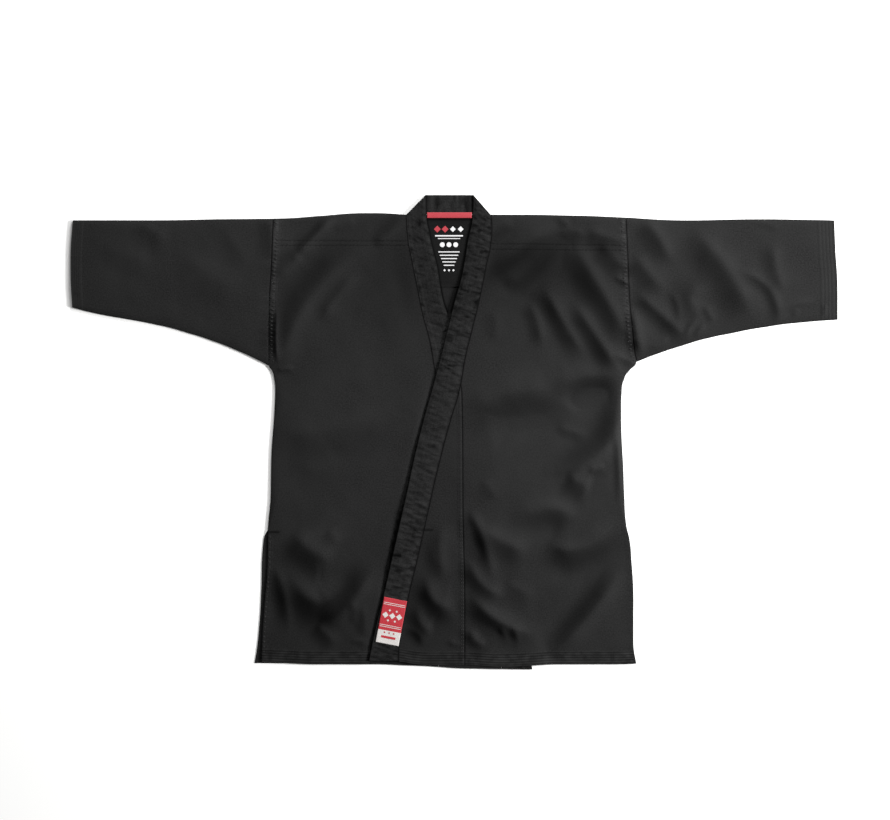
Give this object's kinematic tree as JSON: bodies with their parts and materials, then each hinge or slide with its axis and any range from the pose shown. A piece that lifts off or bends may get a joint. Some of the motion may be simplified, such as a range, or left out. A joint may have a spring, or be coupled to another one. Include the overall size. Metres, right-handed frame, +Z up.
{
  "type": "karate jacket",
  "caption": "Plain black wrap-over karate jacket with straight sleeves, side vents and a stitched collar band, laid flat with its left front crossed over its right.",
  "frame": {"origin": "on the surface the jacket lies on, under the middle of its bounding box", "axes": "+X towards the wearer's left sleeve, +Y towards the neck, +Z up out of the front of the jacket"},
  "size_m": [1.38, 0.8539, 0.0149],
  "materials": {
    "cloth": "charcoal black cotton drill, matt with a faint sheen",
    "lining": "the same drill seen from inside, with a plain light print at the neck",
    "band": "several layers of charcoal drill, quilted lengthwise and puckered",
    "tape": "woven coral red tape",
    "label": "woven satin label, red over off-white"
  },
  "bodies": {
    "root": {"back_panel": "cloth", "back_yoke": "lining", "right_front": "cloth", "right_overlap": "cloth", "right_lapel": "band", "left_front": "cloth", "left_overlap": "cloth", "left_lapel": "band", "neck_band": "band", "right_sleeve": "cloth", "left_sleeve": "cloth", "neck_tape": "tape", "lapel_label": "label"}
  },
  "joints": []
}
